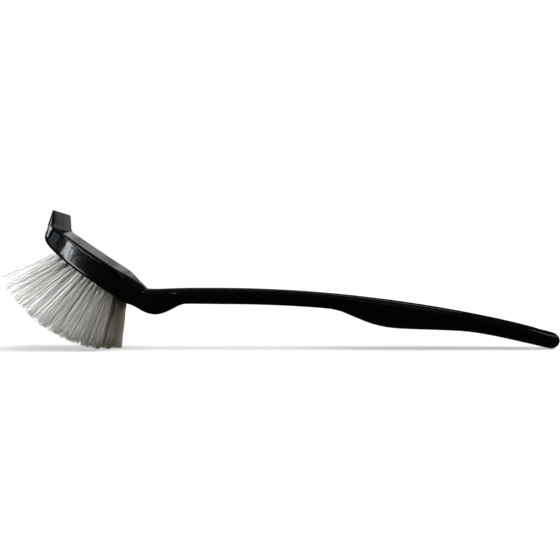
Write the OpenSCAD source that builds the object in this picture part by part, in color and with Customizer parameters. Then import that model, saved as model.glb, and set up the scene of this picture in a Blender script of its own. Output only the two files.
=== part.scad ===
// Wheel brush: a one-piece moulded handle and head with a scraper, and a fan of
// bristle tufts, each folded round a flat wire anchor at the bottom of a blind hole.
// Millimetres. The brush stands as it rests on a table, on its rear tufts and the end
// of its handle. The origin is under the middle of its outer box, at the table.
// +X runs from the head to the handle's end, +Z is up.

/* [Head] */
// Length of the head's flat back, from the scraper's outer face to the neck
head_l = 58; // [56:0.2:60]
// Greatest half width of the head
head_half_w = 18.6; // [18:0.1:20]
// Greatest thickness of the head
head_t = 11.8; // [11.4:0.1:12.6]
// Downward slope of the head's back, towards the neck
head_slope = 34.6; // [33:0.1:36]
// Radius of the head's long edges
head_edge_r = 1.3; // [0.8:0.1:2]

/* [Scraper] */
// Height of the scraper's edge above the head's back
scraper_h = 7; // [5:0.5:9]
// Width of the scraper's edge
scraper_w = 31.6; // [28:0.2:32]
// Width of the scraper at its root
scraper_root_w = 35.6; // [32:0.2:36]
// Thickness of the scraper at its root
scraper_root_t = 2.8; // [2:0.1:3.4]
// Thickness of the scraper at its edge
scraper_edge_t = 0.8; // [0.6:0.1:1.2]
// Forward lean of the scraper's outer face
scraper_lean = 21.8; // [12:0.1:24]

/* [Tufts] */
// Radius of a tuft's hole
hole_r = 1.9; // [1.6:0.05:2]
// Depth of a tuft's hole, along its axis
hole_depth = 6.5; // [5.5:0.1:7]
// Distance between two rows of tufts, across the head
row_pitch = 6.5; // [6.2:0.1:6.7]
// Angle between two tufts of one row
tuft_step = 6.4; // [6.2:0.02:6.5]
// Half angle of the cone that a tuft spreads into
tuft_flare = 3.6; // [2:0.1:4]
// Outward tilt of a row for each millimetre that it stands off the middle, in degrees
row_tilt = 0.4; // [0.3:0.05:0.8]

/* [Handle] */
// Half width of the neck
neck_half_w = 7; // [6:0.1:8]
// Half width of the grip
grip_half_w = 12; // [10:0.1:13]
// Radius of the hole for hanging the brush up
hang_r = 3; // [2.5:0.1:3.5]

/* [Hidden] */
$fn = 48;
fit_gap = 0.02;
through = 100;

// The head's own frame has its origin where the flat back meets the scraper's outer
// face, +X along the back towards the neck, and +Z out of the back.
head_x = -120.5;
head_z = 65.8;
head_along = [cos(head_slope), -sin(head_slope)];
head_up = [sin(head_slope), cos(head_slope)];

// Thickness of the head along its back.
head_depths = [
    [0.3, 0.4 * head_t], [1.9, 0.66 * head_t], [3.8, 0.79 * head_t], [7.2, 0.82 * head_t],
    [13.2, 0.93 * head_t], [21.2, head_t], [56, head_t]
];

// Tufts. Their axes meet on a line across the brush, the fan's centre, and their tips
// are trimmed to a cylinder that reaches down to the table.
fan_x = 33.8;
fan_z = 28.9;
trim_x = 27.7;
trim_z = 28.4;
trim_r = 73.4;
fan_start = -28.4;
row_first = [0, 0.5, 0, 0.5, 0];
row_count = [8, 8, 9, 8, 8];
rows = len(row_count);
flare_start = 1.4;
tuft_l = 45;

// Anchors: flat wire, driven in across the hole so that its ends bite into the wall.
anchor_t = 0.4;
anchor_h = 1.8;
anchor_bite = 0.35;
anchor_floor = 1.6;

// Hanging hole, square to the handle near its end.
hang_x = 135;
hang_z = 6.6;
hang_slope = 15;
hang_chamfer = 0.8;
hang_wall = 7.6;

function tuft_name(r, i) = str("tuft_row", r, "_", i);
function anchors_name(r) = str("anchors_row", r);

// ---- Skin of the handle and head ----

// A control section is [top x, top z, bottom x, bottom z, half width at the top, half
// width at the bottom, top corners' radius across and upright, bottom corners' two].
// Its plane holds its top and bottom points.
function head_section(u, top_w, bottom_w, round_x, round_z, low_r, crown = 0) =
    let (
        back = [head_x, head_z] + u * head_along,
        t = back + crown * head_up,
        b = back - lookup(u, head_depths) * head_up
    ) [t.x, t.y, b.x, b.y, top_w, bottom_w, round_x, round_z, low_r, low_r];

// Where the head's wall is square to its back.
function slab_section(u, half_w, crown = 0) =
    head_section(u, half_w, half_w, head_edge_r, head_edge_r, head_edge_r, crown);

// A section of the handle stands upright. Its corners are soft: their radii are
// shares of its width and height.
function handle_section(x, top, bottom, half_w) =
    let (rx = 0.7 * half_w, rz = 0.38 * (top - bottom))
    [x, top, x, bottom, half_w, half_w, rx, rz, rx, rz];

neck_corner = [head_x, head_z] + head_l * head_along - [0.2, 0.5];

sections = [
    handle_section(142.8, 9.3, 0.3, 7.8),
    handle_section(137.5, 10.6, 1.4, 9.3),
    handle_section(129.5, 13, 3.3, 9.9),
    handle_section(115.5, 16.3, 6.5, 10.6),
    handle_section(99.5, 19.6, 9.5, grip_half_w - 0.4),
    handle_section(83.5, 22.5, 10.3, grip_half_w),
    handle_section(69.5, 24.7, 10.7, grip_half_w),
    handle_section(57.5, 26.4, 11.2, grip_half_w - 0.3),
    handle_section(47.5, 27.6, 13.2, grip_half_w - 1.2),
    handle_section(37.5, 28.8, 17.3, grip_half_w - 2.3),
    handle_section(28.5, 29.7, 21.2, grip_half_w - 3.3),
    handle_section(17.5, 30.7, 22.2, neck_half_w + 0.6),
    handle_section(1.5, 31.8, 23.2, neck_half_w),
    handle_section(-18.5, 32.6, 23.9, neck_half_w),
    handle_section(-36.5, 32.8, 24, neck_half_w),
    handle_section(-48.5, 32.8, 24.2, neck_half_w),
    handle_section(-54.5, 32.7, 24.1, neck_half_w),
    handle_section(-60.5, 32.5, 20.7, neck_half_w + 0.1),
    [-66.5, 32.2, -67, 18, neck_half_w + 0.2, neck_half_w + 0.4, 5, 3.6, 4.4, 4],
    [neck_corner.x, neck_corner.y, -73.3, 19.5, neck_half_w + 0.6, 8.6, 6, 3.8, 4, 3.2],
    [neck_corner.x, neck_corner.y, -78, 23.1, neck_half_w + 1.4, 11, 7, 4, 3.2, 2.4],
    head_section(54.7, 11.4, 15.4, 9.5, 3.8, 2),
    head_section(51.2, 14.2, 17.8, 10, 3.2, 1.8, 0.1),
    head_section(47.2, 17, 18.4, 8, 2, 1.6, 0.5),
    slab_section(42.2, head_half_w + 0.1, 0.5),
    slab_section(33.2, head_half_w, 0.15),
    slab_section(23.2, head_half_w - 0.3),
    slab_section(13.2, head_half_w - 0.7),
    slab_section(5.7, head_half_w - 1.4),
    slab_section(2, head_half_w - 2.5),
    slab_section(0.3, head_half_w - 4.2)
];
steps = 3;
last = len(sections) - 1;
end_r = 4.4;
cap_angles = [75, 60, 45, 30, 15];

// Uniform quadratic B-spline through the control sections.
function at(i) = sections[min(max(i, 0), last)];
function section_at(p) =
    let (i = round(p), t = p - i + 0.5)
    ((1 - t) * (1 - t) * at(i - 1) + (1 + 2 * t - 2 * t * t) * at(i) + t * t * at(i + 1)) / 2;

// The handle's end: the first section, moved out and drawn in by a quarter circle.
function cap_section(a) =
    let (
        s = at(0),
        x = s[0] - 0.6 + end_r * sin(a),
        middle = (s[1] + s[3]) / 2,
        half = (s[1] - s[3]) / 2 * cos(a),
        half_w = s[4] - end_r * (1 - cos(a)),
        rx = 0.7 * half_w,
        rz = 0.76 * half
    ) [x, middle + half, x, middle - half, half_w, half_w, rx, rz, rx, rz];

// Points round a section, in a corner's steps, seen along the handle.
corner_steps = 7;
function ring(s) =
    let (
        middle = [(s[0] + s[2]) / 2, (s[1] + s[3]) / 2],
        half = [(s[0] - s[2]) / 2, (s[1] - s[3]) / 2],
        half_h = norm(half)
    ) [
        for (c = [0:3]) for (k = [0:corner_steps])
        let (
            a = 90 * (c + k / corner_steps),
            side = (c == 0 || c == 3) ? 1 : -1,
            low = (c < 2) ? 0 : 1,
            rx = s[6 + 2 * low],
            rz = s[7 + 2 * low],
            y = side * (s[4 + low] - rx) + rx * cos(a),
            h = ((1 - 2 * low) * (half_h - rz) + rz * sin(a)) / half_h
        ) [middle.x + h * half.x, y, middle.y + h * half.y]
    ];

// A closed solid through rings of equal length.
module skin(rings) {
    n = len(rings[0]);
    m = len(rings);
    points = [for (r = rings) each r];
    sides = [
        for (j = [0:m - 2]) for (k = [0:n - 1])
        let (a = j * n + k, b = j * n + (k + 1) % n)
        each [[a, b, b + n], [a, b + n, a + n]]
    ];
    first_cap = [for (k = [n - 1:-1:0]) k];
    last_cap = [for (k = [0:n - 1]) (m - 1) * n + k];
    polyhedron(points, concat([first_cap], sides, [last_cap]));
}

module body_skin() {
    skin(concat(
        [for (a = cap_angles) ring(cap_section(a))],
        [for (p = [0:last * steps]) ring(section_at(p / steps))]
    ));
}

// ---- Head ----

module in_head_frame() {
    translate([head_x, 0, head_z]) rotate([0, head_slope, 0]) children();
}

// Lowest level that the scraper's sides reach, inside the head.
scraper_foot = -0.55 * head_t;

// The scraper in profile, with a round fillet where its inner face meets the back.
module scraper_profile() {
    lean = [-tan(scraper_lean), 1];
    tip = scraper_h * lean;
    fillet_r = 2.2;
    inner_foot = [scraper_root_t, 0];
    inner_tip = tip + [scraper_edge_t, 0.1];
    inner_a = atan2(inner_tip.y - inner_foot.y, inner_tip.x - inner_foot.x);
    set_back = fillet_r / tan(inner_a / 2);
    centre = inner_foot + [set_back, fillet_r];
    polygon(concat(
        [scraper_foot * lean, tip, inner_tip],
        [for (a = [90 + inner_a:(180 - inner_a) / 6:270.01]) centre + fillet_r * [cos(a), sin(a)]],
        [[scraper_root_t + set_back, -1], [scraper_root_t + 1.6, scraper_foot]]
    ));
}

// Seen from the front: widest at its root, and drawn in below to meet the head's corners.
module scraper() {
    edge = scraper_w / 2;
    root = scraper_root_w / 2;
    corner = 0.7;
    intersection() {
        rotate([90, 0, 0])
            linear_extrude(height = 2 * root, center = true) scraper_profile();
        rotate([90, 0, 90]) linear_extrude(height = 30, center = true) polygon([
            [0.6 - root, scraper_foot], [root - 0.6, scraper_foot], [root, 0],
            [edge, scraper_h - corner], [edge - corner, scraper_h + 1],
            [corner - edge, scraper_h + 1], [-edge, scraper_h - corner], [-root, 0]
        ]);
    }
}

// ---- Tufts ----

function row_y(r) = (r - (rows + 1) / 2) * row_pitch;
function tuft_a(r, i) = fan_start + tuft_step * (i - 1 + row_first[r - 1]);

// Distance from the fan's centre to the head's face along angle a, found in a few turns.
function face_distance(a, depth = head_t, turns = 5) =
    turns == 0 ? (fan_z + depth) / cos(a)
    : face_distance(a, lookup(fan_x + tan(a) * (fan_z + depth), head_depths), turns - 1);

// Puts a tuft's own frame in place: its origin on the head's face, +Z along the tuft.
module at_tuft(r, i) {
    a = tuft_a(r, i);
    d = face_distance(a);
    translate([fan_x + d * sin(a), row_y(r), fan_z - d * cos(a)])
        rotate([0, -a, 0]) rotate([180 + row_tilt * row_y(r), 0, 0]) children();
}

module anchor() {
    width = 2 * (hole_r + anchor_bite);
    translate([-anchor_t / 2, -width / 2, anchor_floor - hole_depth])
        cube([anchor_t, width, anchor_h]);
}

// A blind hole with a drill-point bottom.
module tuft_hole(r = hole_r) {
    point = 0.55 * r;
    translate([0, 0, -hole_depth]) cylinder(r1 = 0, r2 = r, h = point);
    translate([0, 0, point - hole_depth]) cylinder(r = r, h = hole_depth - point + flare_start);
}

// The tuft: filaments packed into the hole, folded under the anchor, spread outside.
module tuft(r, i) {
    packed_r = hole_r - fit_gap;
    color("white") in_head_frame() intersection() {
        at_tuft(r, i) difference() {
            union() {
                tuft_hole(packed_r);
                translate([0, 0, flare_start])
                    cylinder(r1 = packed_r, r2 = packed_r + tuft_l * tan(tuft_flare), h = tuft_l);
            }
            anchor();
        }
        translate([trim_x, 0, trim_z]) rotate([90, 0, 0])
            cylinder(r = trim_r, h = through, center = true, $fn = 200);
    }
}

module anchors(r) {
    color("silver") in_head_frame()
        for (i = [1:row_count[r - 1]]) at_tuft(r, i) anchor();
}

// ---- Handle ----

module hang_hole() {
    mouth = 3;
    translate([hang_x, 0, hang_z]) rotate([0, hang_slope, 0]) {
        cylinder(r = hang_r, h = through, center = true);
        for (turn = [0, 180]) rotate([turn, 0, 0])
            translate([0, 0, hang_wall / 2])
                cylinder(r1 = hang_r, r2 = hang_r + mouth * hang_chamfer, h = mouth);
    }
}

module handle() {
    color("#16181a") difference() {
        union() {
            body_skin();
            in_head_frame() scraper();
        }
        in_head_frame()
            for (r = [1:rows]) for (i = [1:row_count[r - 1]]) at_tuft(r, i) {
                tuft_hole();
                anchor();
            }
        hang_hole();
    }
}

handle();
for (r = [1:rows]) {
    for (i = [1:row_count[r - 1]])
        tuft(r, i);
    anchors(r);
}
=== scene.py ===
"""A wheel brush: a black moulded handle, head and scraper, and a fan of folded bristle tufts."""

import math

import bmesh
import bpy
import numpy as np
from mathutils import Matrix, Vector


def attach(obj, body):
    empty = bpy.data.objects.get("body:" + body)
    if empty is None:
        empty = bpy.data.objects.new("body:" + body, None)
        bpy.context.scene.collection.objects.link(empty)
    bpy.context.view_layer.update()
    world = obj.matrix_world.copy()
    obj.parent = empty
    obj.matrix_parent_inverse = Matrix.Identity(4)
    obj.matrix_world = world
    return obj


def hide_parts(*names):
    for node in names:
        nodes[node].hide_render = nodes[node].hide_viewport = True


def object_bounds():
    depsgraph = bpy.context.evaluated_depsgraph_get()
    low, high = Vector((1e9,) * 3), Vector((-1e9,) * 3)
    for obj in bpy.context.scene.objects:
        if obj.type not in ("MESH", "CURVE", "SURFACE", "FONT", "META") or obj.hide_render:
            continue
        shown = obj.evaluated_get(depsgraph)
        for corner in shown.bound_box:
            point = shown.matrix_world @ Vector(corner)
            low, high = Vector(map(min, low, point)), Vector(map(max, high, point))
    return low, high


MM = 0.001
SEED = 7

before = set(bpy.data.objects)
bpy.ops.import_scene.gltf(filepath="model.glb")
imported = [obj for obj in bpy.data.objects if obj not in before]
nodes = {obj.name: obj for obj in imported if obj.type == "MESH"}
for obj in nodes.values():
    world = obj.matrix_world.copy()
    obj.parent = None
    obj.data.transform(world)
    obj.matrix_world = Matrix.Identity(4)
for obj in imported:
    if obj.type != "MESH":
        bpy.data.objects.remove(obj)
cad_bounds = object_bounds()
rng = np.random.default_rng(SEED)


# ---- Small helpers ----

def points_of(mesh):
    """A mesh's vertices as an array."""
    co = np.zeros(len(mesh.vertices) * 3)
    mesh.vertices.foreach_get("co", co)
    return co.reshape(-1, 3)


def new_object(name, mesh):
    """An object for a mesh, linked to the scene."""
    obj = bpy.data.objects.new(name, mesh)
    bpy.context.scene.collection.objects.link(obj)
    return obj


def shade_smooth(mesh):
    """Shades every face smoothly."""
    mesh.polygons.foreach_set("use_smooth", [True] * len(mesh.polygons))


def unit(v):
    """Vectors scaled to a length of 1."""
    return v / np.linalg.norm(v, axis=-1, keepdims=True)


# ---- Materials ----

def new_material(name):
    """A node material and its principled shader."""
    mat = bpy.data.materials.new(name)
    mat.use_nodes = True
    return mat, mat.node_tree, mat.node_tree.nodes["Principled BSDF"]


def noise(tree, scale, detail=3.0, roughness=0.5, stretch=(1, 1, 1), turn=(0, 0, 0)):
    """Noise in the object's own coordinates. scale counts features for each metre."""
    coords = tree.nodes.new("ShaderNodeTexCoord")
    mapping = tree.nodes.new("ShaderNodeMapping")
    mapping.inputs["Scale"].default_value = stretch
    mapping.inputs["Rotation"].default_value = turn
    tex = tree.nodes.new("ShaderNodeTexNoise")
    tex.inputs["Scale"].default_value = scale
    tex.inputs["Detail"].default_value = detail
    tex.inputs["Roughness"].default_value = roughness
    tree.links.new(coords.outputs["Object"], mapping.inputs["Vector"])
    tree.links.new(mapping.outputs["Vector"], tex.inputs["Vector"])
    return tex.outputs["Fac"]


def ramp(tree, value, stops):
    """A colour ramp over value. stops are (position, (r, g, b))."""
    node = tree.nodes.new("ShaderNodeValToRGB")
    elements = node.color_ramp.elements
    while len(elements) < len(stops):
        elements.new(0.5)
    for element, (position, colour) in zip(elements, stops):
        element.position = position
        element.color = (*colour, 1)
    tree.links.new(value, node.inputs["Fac"])
    return node.outputs["Color"]


def to_range(tree, value, low, high, from_low=0.3, from_high=0.7):
    """A value mapped from one range to another."""
    node = tree.nodes.new("ShaderNodeMapRange")
    node.inputs["From Min"].default_value = from_low
    node.inputs["From Max"].default_value = from_high
    node.inputs["To Min"].default_value = low
    node.inputs["To Max"].default_value = high
    tree.links.new(value, node.inputs["Value"])
    return node.outputs["Result"]


def bump(tree, height, distance, strength=1.0, under=None):
    """A normal bent by height, which is distance metres from black to white."""
    node = tree.nodes.new("ShaderNodeBump")
    node.inputs["Strength"].default_value = strength
    node.inputs["Distance"].default_value = distance
    tree.links.new(height, node.inputs["Height"])
    if under is not None:
        tree.links.new(under, node.inputs["Normal"])
    return node.outputs["Normal"]


BLACK = (0.0010, 0.0014, 0.0016)
WORN_BLACK = (0.0018, 0.0024, 0.0028)
WAVE_HEIGHT = 0.16 * MM
RIPPLE_HEIGHT = 0.04 * MM
GRAIN_HEIGHT = 0.006 * MM
PLASTIC_BUMP = 0.35


def black_plastic():
    """Glossy moulded polypropylene: slow waves and ripples from cooling, fine grain, scuffs."""
    mat, tree, shader = new_material("black_plastic")
    slow = noise(tree, 60, detail=2)
    tree.links.new(
        ramp(tree, slow, [(0.3, BLACK), (0.7, WORN_BLACK)]), shader.inputs["Base Color"]
    )
    scuffs = noise(tree, 220, detail=6, roughness=0.7, stretch=(0.25, 1, 1), turn=(0, 0.6, 0))
    tree.links.new(to_range(tree, scuffs, 0.05, 0.10), shader.inputs["Roughness"])
    waves = noise(tree, 90, detail=1, stretch=(0.5, 1, 1))
    grain = noise(tree, 2600, detail=2)
    ripples = noise(tree, 330, detail=2, stretch=(1, 0.3, 1))
    wavy = bump(tree, waves, WAVE_HEIGHT, PLASTIC_BUMP)
    rippled = bump(tree, ripples, RIPPLE_HEIGHT, PLASTIC_BUMP, wavy)
    grained = bump(tree, grain, GRAIN_HEIGHT, PLASTIC_BUMP, rippled)
    tree.links.new(grained, shader.inputs["Normal"])
    shader.inputs["Specular IOR Level"].default_value = 0.5
    shader.inputs["IOR"].default_value = 1.49
    return mat


DARK_FIBRE = (0.29, 0.28, 0.27)
PALE_FIBRE = (0.88, 0.875, 0.865)
DARK_TIP = (0.52, 0.51, 0.50)
PALE_TIP = (0.86, 0.858, 0.855)


def attribute(tree, name):
    """One of the mesh's own point attributes."""
    node = tree.nodes.new("ShaderNodeAttribute")
    node.attribute_name = name
    return node.outputs["Fac"]


def bristle_fibre():
    """Milky translucent filament. Each has its own tone, and a dark one pales to its tip."""
    mat, tree, shader = new_material("bristle_fibre")
    tone = attribute(tree, "tone")
    body = ramp(tree, tone, [(0.0, DARK_FIBRE), (1.0, PALE_FIBRE)])
    tip = ramp(tree, tone, [(0.0, DARK_TIP), (1.0, PALE_TIP)])
    mix = tree.nodes.new("ShaderNodeMix")
    mix.data_type = "RGBA"
    tree.links.new(attribute(tree, "reach"), mix.inputs["Factor"])
    tree.links.new(body, mix.inputs["A"])
    tree.links.new(tip, mix.inputs["B"])
    tree.links.new(mix.outputs["Result"], shader.inputs["Base Color"])
    streaks = noise(tree, 900, detail=3)
    tree.links.new(to_range(tree, streaks, 0.26, 0.42), shader.inputs["Roughness"])
    shader.inputs["Transmission Weight"].default_value = 0.22
    shader.inputs["IOR"].default_value = 1.5
    return mat


DARK_BRASS = (0.52, 0.36, 0.15)
BRASS = (0.78, 0.58, 0.28)
DRAW_LINE_HEIGHT = 0.02 * MM


def anchor_wire():
    """Drawn brass flat wire, with lines along it."""
    mat, tree, shader = new_material("anchor_wire")
    lines = noise(tree, 4000, detail=3, stretch=(1, 0.05, 1))
    tree.links.new(
        ramp(tree, lines, [(0.3, DARK_BRASS), (0.7, BRASS)]), shader.inputs["Base Color"]
    )
    tree.links.new(to_range(tree, lines, 0.25, 0.45), shader.inputs["Roughness"])
    tree.links.new(bump(tree, lines, DRAW_LINE_HEIGHT, 0.5), shader.inputs["Normal"])
    shader.inputs["Metallic"].default_value = 1.0
    return mat


# ---- The moulding: handle, neck, head and scraper ----

VOXEL = 0.42 * MM
SMOOTHING_TURNS = 40
SMOOTHING_STEPS = (0.5, -0.51)

# The head ends where the neck begins. Its edges are kept crisper than the handle's.
HEAD_END_X = -0.0685
NECK_BLEND = 0.012
HEAD_WEIGHT = 0.1

# The scraper stands on the head's flat back, and has the sharpest edges.
SCRAPER_FOOT = (-0.1205, 0.0, 0.0658)
SCRAPER_REAR_X = -0.112
SCRAPER_WEIGHT = 0.03
BACK_NORMAL = (0.568, 0.0, 0.823)
BACK_CLEAR = 0.0004


def remeshed(obj, voxel):
    """The object's mesh as an even grid of quads."""
    mod = obj.modifiers.new("even", "REMESH")
    mod.mode = "VOXEL"
    mod.voxel_size = voxel
    graph = bpy.context.evaluated_depsgraph_get()
    mesh = bpy.data.meshes.new_from_object(obj.evaluated_get(graph))
    obj.modifiers.remove(mod)
    return mesh


def keep_largest(mesh):
    """Removes closed bits of shell that aren't joined to the largest one."""
    bm = bmesh.new()
    bm.from_mesh(mesh)
    seen = set()
    shells = []
    for start in bm.verts:
        if start in seen:
            continue
        seen.add(start)
        shell = [start]
        for vert in shell:
            for edge in vert.link_edges:
                other = edge.other_vert(vert)
                if other not in seen:
                    seen.add(other)
                    shell.append(other)
        shells.append(shell)
    shells.sort(key=len)
    loose = [v for shell in shells[:-1] for v in shell]
    bmesh.ops.delete(bm, geom=loose, context="VERTS")
    bm.to_mesh(mesh)
    bm.free()


def smooth(mesh, weight, turns):
    """Evens out the surface without shrinking it: each turn goes in, and then back out."""
    co = points_of(mesh)
    edges = np.zeros(len(mesh.edges) * 2, np.int64)
    mesh.edges.foreach_get("vertices", edges)
    a, b = edges.reshape(-1, 2).T
    count = np.bincount(np.r_[a, b], minlength=len(co))[:, None]
    for step in SMOOTHING_STEPS * turns:
        total = np.stack([
            np.bincount(a, co[b, k], len(co)) + np.bincount(b, co[a, k], len(co))
            for k in range(3)
        ], 1)
        co += step * weight(co)[:, None] * (total / count - co)
    mesh.vertices.foreach_set("co", co.ravel())
    mesh.update()


def moulding_weight(co):
    """How much of each smoothing turn a point takes: all on the handle, least on the scraper."""
    over_back = (co - SCRAPER_FOOT) @ BACK_NORMAL
    scraper = (over_back > BACK_CLEAR) & (co[:, 0] < SCRAPER_REAR_X)
    handle = np.clip((co[:, 0] - HEAD_END_X) / NECK_BLEND, 0.0, 1.0)
    return np.where(scraper, SCRAPER_WEIGHT, handle * (1 - HEAD_WEIGHT) + HEAD_WEIGHT)


def moulding(material):
    """The whole black moulding: the CAD skin, remeshed evenly and smoothed."""
    source = new_object("moulding_source", nodes["handle"].data.copy())
    mesh = remeshed(source, VOXEL)
    bpy.data.objects.remove(source)
    keep_largest(mesh)
    smooth(mesh, moulding_weight, SMOOTHING_TURNS)
    shade_smooth(mesh)
    mesh.materials.clear()
    mesh.materials.append(material)
    obj = new_object("moulding", mesh)
    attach(obj, "root")
    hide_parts("handle")


# ---- Bristles ----

# The CAD tuft: its radius in the hole, where its cone starts, and bands that pick its ends.
TUFT_R = 1.88 * MM
FLARE_START = 7.9 * MM
END_BAND = 0.5 * MM
RING_BAND = 0.1 * MM
TRIM_BAND = 1.2 * MM

# The filaments, and their places in the hole, beside its anchor.
FOLDS = 70
FILAMENT_R = 0.105 * MM
SIDES = 5
HOLE_DEPTH = 6.5 * MM
HOLE_FILL_R = 1.7 * MM
ANCHOR_CLEAR = 0.37 * MM
PACK_SPACING = 0.23 * MM
HEX_PITCH = 0.866
PACK_ROWS = range(-8, 9)
PACK_COLS = range(9)
PLACE_JITTER = 0.03 * MM

# The fold under the anchor and the legs beside it, measured up from the bottom of the hole.
FOLD_HEIGHT = 1.3 * MM
FOLD_NESTING = 0.5
FOLD_GATHER = 0.35
BEND_HEIGHT = 1.05 * MM
BEND_GATHER_X = 0.72
BEND_GATHER_Y = 0.85
LEG_HEIGHTS = (1.9 * MM, 3.7 * MM)

# The spread outside the hole. TIP_SPREAD is how many times wider a tuft is at REACH.
OUTSIDE_STEPS = (0.1, 0.25, 0.5, 0.75, 1.0)
REACH = 31 * MM
TIP_SPREAD = np.array([3.5, 2.8])
SPREAD_JITTER = 1.1 * MM
CLUMPS = 4
CLUMP_SPREAD = 2.2 * MM
CLUMPING = 0.14
MOUTH_FLARE = 0.09
BOW = 0.02 * MM
BOW_MIDDLE = 0.6
BOW_TIP = 0.4
TRIM_JITTER = 0.35 * MM
FAN_EDGE_FROM = 0.85

# The tones, which differ by tuft, by band across a tuft and by filament, and fade at the tips.
TONE = 0.66
TUFT_TONES = 0.12
BAND_TONES = 0.45
FILAMENT_TONES = 0.10
BANDS = 5
TIP_LENGTH = 30 * MM
TIP_POWER = 1.5


def tuft_nodes():
    """The names of the CAD tufts."""
    return sorted(n for n in nodes if n.startswith("tuft_"))


def tuft_axis(co):
    """The bottom of a tuft's hole and its direction, from the CAD tuft's own points."""
    middle = co.mean(0)
    lengthwise = np.linalg.svd(co - middle, full_matrices=False)[2][0]
    ends = []
    for sign in (1, -1):
        along = sign * ((co - middle) @ lengthwise)
        near_end = co[along > along.max() - END_BAND]
        ends.append((np.ptp(near_end, axis=0).max(), co[np.argmax(along)]))
    bottom = min(ends, key=lambda end: end[0])[1]
    ring_at = math.hypot(FLARE_START, TUFT_R)
    ring = co[abs(np.linalg.norm(co - bottom, axis=1) - ring_at) < RING_BAND]
    return bottom, unit(ring.mean(0) - bottom)


def trim_circle(tufts):
    """The circle, seen from the side, that all the tips are cut to."""
    tips = []
    for co, (bottom, axis) in tufts:
        along = (co - bottom) @ axis
        tips.append(co[along > along.max() - TRIM_BAND][:, [0, 2]])
    x, z = np.concatenate(tips).T
    cx, cz, k = np.linalg.lstsq(
        np.stack([2 * x, 2 * z, np.ones(len(x))], 1), x * x + z * z, rcond=None
    )[0]
    return np.array([cx, cz]), math.sqrt(k + cx * cx + cz * cz)


def packed_half_disc(count):
    """Places for count filaments in the half of a hole on one side of its anchor."""
    places = []
    for row in PACK_ROWS:
        for col in PACK_COLS:
            x = ANCHOR_CLEAR + col * PACK_SPACING * HEX_PITCH
            y = (row + 0.5 * (col % 2)) * PACK_SPACING
            if math.hypot(x, y) < HOLE_FILL_R:
                places.append((x, y))
    places.sort(key=lambda p: math.hypot(*p))
    return np.array(places[:count])


def fan_edge(co, basis, outer):
    """How far the CAD tuft leans out on its outer side, at REACH from the mouth of its hole."""
    bottom, ex, _, ez = basis
    along = (co - bottom) @ ez - HOLE_DEPTH
    tips = along > FAN_EDGE_FROM * along.max()
    return (outer * ((co - bottom) @ ex)[tips] / along[tips]).max() * REACH


def spread_at_reach(inside, outer, limit):
    """Where filaments from these places in the hole would be at REACH, across the tuft.

    Those of a row's end tuft that would lean past the fan's edge, at limit, are turned back.
    """
    clumps = rng.normal(0, CLUMP_SPREAD, (CLUMPS, 2))
    spread = inside * TIP_SPREAD + rng.normal(0, SPREAD_JITTER, (len(inside), 2))
    nearest = np.argmin(np.linalg.norm(spread[:, None] - clumps[None], axis=2), axis=1)
    spread += CLUMPING * (clumps[nearest] - spread)
    spread[:, 0] -= 2 * outer * np.clip(outer * spread[:, 0] - limit, 0, None)
    return spread


def distance_to_circle(start, along, circle):
    """How far lines run from start until they meet the trim circle, seen from the side."""
    centre, radius = circle
    p = start[:, [0, 2]] - centre
    d = along[:, [0, 2]]
    a = (d * d).sum(1)
    b = 2 * (p * d).sum(1)
    c = (p * p).sum(1) - radius ** 2
    return (-b + np.sqrt(b * b - 4 * a * c)) / (2 * a)


def leg(places, side, basis, circle, outer, limit):
    """Centre lines of one side's filaments, from the fold up to the tips: count, steps, 3."""
    bottom, ex, ey, ez = basis
    n = len(places)
    x = side * places[:, 0]
    y = places[:, 1] + rng.normal(0, PLACE_JITTER, n)
    inside = np.stack([x, y], 1)
    spread = spread_at_reach(inside, outer, limit)

    def at_height(height):
        return bottom + x[:, None] * ex + y[:, None] * ey + height * ez

    mouth = at_height(HOLE_DEPTH)
    outward = spread - inside
    along = unit(ez + (outward[:, :1] * ex + outward[:, 1:] * ey) / REACH)
    length = distance_to_circle(mouth, along, circle)
    length -= np.abs(rng.normal(0, TRIM_JITTER, n))

    bow = rng.normal(0, BOW, (n, 2))
    lines = [at_height(height) for height in LEG_HEIGHTS] + [mouth]
    for t in OUTSIDE_STEPS:
        sway = math.sin(math.pi * t) * BOW_MIDDLE + BOW_TIP * t * t
        shift = sway * bow + MOUTH_FLARE * (1 - t) * outward
        lines.append(mouth + t * length[:, None] * along + shift[:, :1] * ex + shift[:, 1:] * ey)
    return np.stack(lines, 1), (x, y)


def fold(basis, places, left_at, right_at):
    """Centre lines under the anchor, from the left legs to the right ones: count, 3, 3."""
    bottom, ex, ey, ez = basis
    lowest = (FOLD_HEIGHT - FOLD_NESTING * places[:, 0])[:, None]

    def bend(x, y):
        sideways = BEND_GATHER_X * x[:, None] * ex + BEND_GATHER_Y * y[:, None] * ey
        return bottom + sideways + BEND_HEIGHT * ez

    middle = bottom + FOLD_GATHER * (left_at[1] + right_at[1])[:, None] * ey + lowest * ez
    return np.stack([bend(*left_at), middle, bend(*right_at)], 1)


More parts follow.
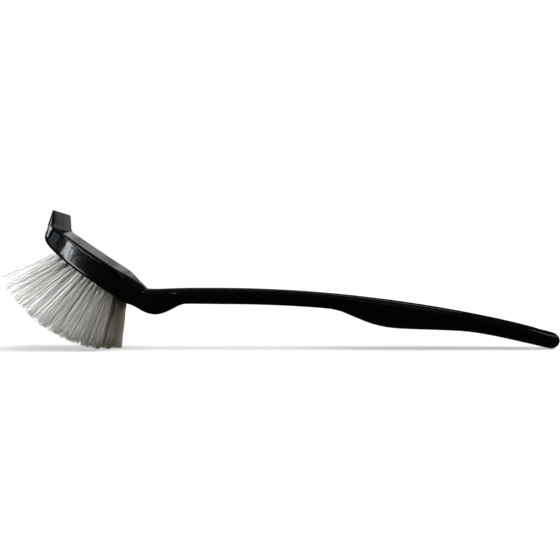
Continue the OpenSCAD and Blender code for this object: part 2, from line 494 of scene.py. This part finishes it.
def tubes(lines, radius, up):
    """Closed tubes round centre lines (count, steps, 3), as points and faces."""
    n, steps, _ = lines.shape
    tangent = np.empty_like(lines)
    tangent[:, 1:-1] = lines[:, 2:] - lines[:, :-2]
    tangent[:, 0] = lines[:, 1] - lines[:, 0]
    tangent[:, -1] = lines[:, -1] - lines[:, -2]
    tangent = unit(tangent)
    across = unit(np.cross(tangent, up))
    out = np.cross(tangent, across)
    turn = 2 * np.pi * np.arange(SIDES) / SIDES
    ring = (
        np.cos(turn)[None, None, :, None] * across[:, :, None]
        + np.sin(turn)[None, None, :, None] * out[:, :, None]
    )
    points = (lines[:, :, None] + radius * ring).reshape(-1, 3)

    first = (np.arange(n) * steps * SIDES)[:, None, None]
    ring_start = (np.arange(steps - 1) * SIDES)[None, :, None]
    k = np.arange(SIDES)[None, None]
    a = first + ring_start + k
    b = first + ring_start + (k + 1) % SIDES
    sides = np.stack([a, b, b + SIDES, a + SIDES], -1).reshape(-1, 4)
    caps = np.concatenate([
        first[:, 0] + np.arange(SIDES)[::-1],
        first[:, 0] + (steps - 1) * SIDES + np.arange(SIDES),
    ])
    return points, sides.tolist() + caps.tolist()


def filament_tones(places):
    """A tone from 0 to 1 for each filament of one tuft."""
    band_places = np.linspace(ANCHOR_CLEAR, HOLE_FILL_R, BANDS)
    bands = np.interp(places[:, 0], band_places, rng.normal(0, BAND_TONES, BANDS))
    middle = TONE + rng.normal(0, TUFT_TONES)
    return np.clip(rng.normal(middle + bands, FILAMENT_TONES), 0, 1)


def bristles(name, co, axis_of, circle, outer, material):
    """One tuft: filaments folded under the anchor, packed in the hole and spread outside it."""
    bottom, ez = axis_of
    ey = np.array([0.0, 1.0, 0.0])
    ey = unit(ey - (ey @ ez) * ez)
    ex = np.cross(ey, ez)
    basis = (bottom, ex, ey, ez)
    limit = fan_edge(co, basis, outer)
    places = packed_half_disc(FOLDS)
    left, left_at = leg(places, -1, basis, circle, outer, limit)
    right, right_at = leg(places, 1, basis, circle, outer, limit)
    under = fold(basis, places, left_at, right_at)
    lines = np.concatenate([left[:, ::-1], under, right], 1)
    points, faces = tubes(lines, FILAMENT_R, ey)

    mesh = bpy.data.meshes.new(name)
    mesh.from_pydata(points.tolist(), [], faces)
    shade_smooth(mesh)
    tone = np.repeat(filament_tones(places), lines.shape[1] * SIDES)
    reach = np.clip(((points - bottom) @ ez - HOLE_DEPTH) / TIP_LENGTH, 0, 1) ** TIP_POWER
    for label, values in (("tone", tone), ("reach", reach)):
        mesh.attributes.new(label, "FLOAT", "POINT").data.foreach_set("value", values)
    mesh.materials.append(material)
    obj = new_object(name, mesh)
    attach(obj, "root")
    return obj


def outer_side(node, names):
    """1 for the first tuft of a row, -1 for the last and 0 for the rest."""
    row, place = node.rsplit("_", 1)
    count = sum(name.startswith(row + "_") for name in names)
    return {1: 1, count: -1}.get(int(place), 0)


def all_bristles(material):
    """Filaments in place of every CAD tuft, all trimmed to one circle."""
    names = tuft_nodes()
    clouds = [points_of(nodes[n].data) for n in names]
    tufts = [(co, tuft_axis(co)) for co in clouds]
    circle = trim_circle(tufts)
    for node, (co, axis_of) in zip(names, tufts):
        outer = outer_side(node, names)
        obj = bristles(node.replace("tuft", "bristles"), co, axis_of, circle, outer, material)
        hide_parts(node)


# ---- Anchors ----

def dress_anchors(material):
    """Brass on the CAD anchors, which stay as they are."""
    for name, obj in nodes.items():
        if name.startswith("anchors_"):
            obj.data.materials.clear()
            obj.data.materials.append(material)


# ---- Studio ----

FLOOR_R = 12.0
FLOOR_GAP = 0.05 * MM
FLOOR_DARK = (0.53, 0.53, 0.53)
FLOOR_PALE = (0.55, 0.55, 0.55)
FLOOR_GLOW = 0.5

WHITE = (1, 1, 1)
PALE_BLUE = (0.97, 0.98, 1.0)
PALE_WARM = (1.0, 0.99, 0.97)

# What the lights are aimed at.
HEAD_SIDE = (-0.110, -0.018, 0.050)
HEAD_BACK = (-0.100, 0.0, 0.052)
BLADE = (-0.119, 0.0, 0.068)
MIDDLE = (0, 0, 0.03)

# Upright strips behind the brush, which its back mirrors: place, width and brightness.
BACK_STRIPS = [
    (-0.250, 0.07, 0.36),
    (-0.192, 0.03, 0.20),
    (-0.156, 0.018, 0.24),
    (-0.126, 0.02, 0.20),
]

CAMERA_AT = (-1.75 * MM, -400 * MM, 36.9 * MM)
LENS = 48
SENSOR = 36


def floor_material():
    """White board, lit softly from below as well as from above, which keeps shadows light."""
    mat, tree, shader = new_material("studio_floor")
    tree.links.new(
        ramp(tree, noise(tree, 3), [(0.3, FLOOR_DARK), (0.7, FLOOR_PALE)]),
        shader.inputs["Base Color"],
    )
    shader.inputs["Roughness"].default_value = 1.0
    shader.inputs["Specular IOR Level"].default_value = 0.0
    shader.inputs["Emission Color"].default_value = (*WHITE, 1)
    shader.inputs["Emission Strength"].default_value = FLOOR_GLOW
    return mat


def pale_floor(material):
    """A round white table just under the brush, which nothing mirrors."""
    bm = bmesh.new()
    bmesh.ops.create_circle(bm, cap_ends=True, segments=64, radius=FLOOR_R)
    mesh = bpy.data.meshes.new("floor")
    bm.to_mesh(mesh)
    bm.free()
    mesh.materials.append(material)
    floor = new_object("floor", mesh)
    floor.location.z = cad_bounds[0].z - FLOOR_GAP
    floor.visible_glossy = False
    floor.visible_diffuse = False
    floor.visible_transmission = False


def studio_world():
    """White behind the brush, soft as a light, and nearly black in reflections."""
    world = bpy.data.worlds.new("studio")
    bpy.context.scene.world = world
    world.use_nodes = True
    tree = world.node_tree
    tree.nodes.clear()
    path = tree.nodes.new("ShaderNodeLightPath")
    out = tree.nodes.new("ShaderNodeOutputWorld")

    def background(colour, strength):
        node = tree.nodes.new("ShaderNodeBackground")
        node.inputs["Color"].default_value = (*colour, 1)
        node.inputs["Strength"].default_value = strength
        return node.outputs["Background"]

    def choose(test, otherwise, chosen):
        node = tree.nodes.new("ShaderNodeMixShader")
        tree.links.new(path.outputs[test], node.inputs["Fac"])
        tree.links.new(otherwise, node.inputs[1])
        tree.links.new(chosen, node.inputs[2])
        return node.outputs["Shader"]

    through_fibre = background((1, 0.985, 0.96), 0.9)
    fill = background((1, 0.88, 0.68), 0.07)
    mirrored = background((0.8, 0.9, 1), 0.012)
    backdrop = background(WHITE, 1.0)
    light = choose("Is Glossy Ray", fill, mirrored)
    light = choose("Is Transmission Ray", light, through_fibre)
    tree.links.new(choose("Is Camera Ray", light, backdrop), out.inputs["Surface"])


def aim(obj, target):
    """Turns a light to face a point."""
    away = Vector(target) - obj.location
    obj.rotation_euler = away.to_track_quat("-Z", "Y").to_euler()


def sun(name, towards, strength, angle):
    """A broad light from one side, as wide as angle, which never shows as a reflection."""
    light = bpy.data.lights.new(name, "SUN")
    light.energy = strength
    light.angle = math.radians(angle)
    obj = bpy.data.objects.new(name, light)
    bpy.context.scene.collection.objects.link(obj)
    obj.location = (0, 0, 1)
    aim(obj, obj.location + Vector(towards))
    obj.visible_glossy = False


def softbox(name, at, target, size, radiance, colour=WHITE):
    """A flat light of a known brightness that only shows as a reflection."""
    light = bpy.data.lights.new(name, "AREA")
    light.shape = "RECTANGLE"
    light.size, light.size_y = size
    light.energy = radiance * math.pi * size[0] * size[1]
    light.color = colour
    obj = bpy.data.objects.new(name, light)
    bpy.context.scene.collection.objects.link(obj)
    obj.location = at
    aim(obj, target)
    obj.visible_camera = False
    obj.visible_diffuse = False
    obj.visible_transmission = False


def spot(name, at, target, cone, power, colour):
    """A lamp with a wide soft edge, which never shows as a reflection."""
    light = bpy.data.lights.new(name, "SPOT")
    light.spot_size = math.radians(cone)
    light.spot_blend = 1.0
    light.shadow_soft_size = 0.03
    light.energy = power
    light.color = colour
    obj = bpy.data.objects.new(name, light)
    bpy.context.scene.collection.objects.link(obj)
    obj.location = at
    aim(obj, target)
    obj.visible_glossy = False


def lamps():
    """The light on the bristles: a broad one from above, and narrow ones on parts of the fan."""
    sun("top", (-0.40, 0.12, -1.0), 3.5, 60)
    spot("key", (-0.27, -0.42, 0.09), (-0.152, 0, 0.043), 14, 22, (0.98, 0.99, 1.0))
    spot("roots", (-0.42, -0.28, 0.02), (-0.113, 0, 0.047), 6.5, 13, PALE_WARM)
    spot("low", (-0.36, -0.30, 0.016), (-0.122, 0, 0.008), 7.0, 19, PALE_WARM)
    spot("rear", (0.28, -0.36, 0.06), (-0.074, 0, 0.014), 7, 5, (1.0, 0.88, 0.66))


def panes():
    """Bright panes, which the head's near side and the scraper's end mirror."""
    softbox("window", (-0.302, -0.53, 0.085), HEAD_SIDE, (0.022, 0.12), 14.0, (0.92, 0.96, 1.0))
    softbox("high_pane", (-0.1138, -0.16, 0.165), BLADE, (0.020, 0.035), 6.5, PALE_BLUE)
    softbox("mid_pane", (-0.225, -0.53, 0.20), BLADE, (0.06, 0.15), 4.5, PALE_BLUE)
    softbox("low_pane", (-0.345, -0.53, 0.012), BLADE, (0.07, 0.05), 10.0, PALE_BLUE)


def cards():
    """Dim cards, which show the shape of the plastic's other faces."""
    softbox("left_card", (-0.43, -0.53, 0.17), HEAD_SIDE, (0.12, 0.16), 0.7, (0.85, 0.93, 1.0))
    softbox("back_card", (-0.18, 0.70, 0.20), HEAD_BACK, (0.30, 0.30), 0.13)
    for number, (x, width, radiance) in enumerate(BACK_STRIPS):
        at = (x, 0.69, 0.20)
        softbox(f"back_strip_{number}", at, HEAD_BACK, (width, 0.30), radiance, (1, 0.99, 0.96))
    softbox("blade_card", (0.03, 0.70, 0.12), BLADE, (0.12, 0.20), 0.32)
    softbox("top_card", (0.05, -0.1, 0.8), (0, 0, 0), (0.9, 0.25), 0.08)
    softbox("high_card", (-0.05, 0.60, 0.68), MIDDLE, (1.0, 0.30), 0.25)
    softbox("left_high_card", (-0.42, 0.56, 0.58), MIDDLE, (0.30, 0.35), 2.0)
    softbox("right_high_card", (0.72, -0.05, 0.52), MIDDLE, (0.30, 0.35), 0.9)


def camera():
    """The photograph's view: level, and square to the brush's near side."""
    data = bpy.data.cameras.new("camera")
    data.lens = LENS
    data.sensor_width = SENSOR
    obj = bpy.data.objects.new("camera", data)
    bpy.context.scene.collection.objects.link(obj)
    obj.location = CAMERA_AT
    obj.rotation_euler = (math.pi / 2, 0, 0)
    bpy.context.scene.camera = obj


def studio():
    """Floor, world, lights and camera."""
    bpy.context.scene.view_settings.view_transform = "Standard"
    pale_floor(floor_material())
    studio_world()
    lamps()
    panes()
    cards()
    camera()


moulding(black_plastic())
all_bristles(bristle_fibre())
dress_anchors(anchor_wire())
studio()
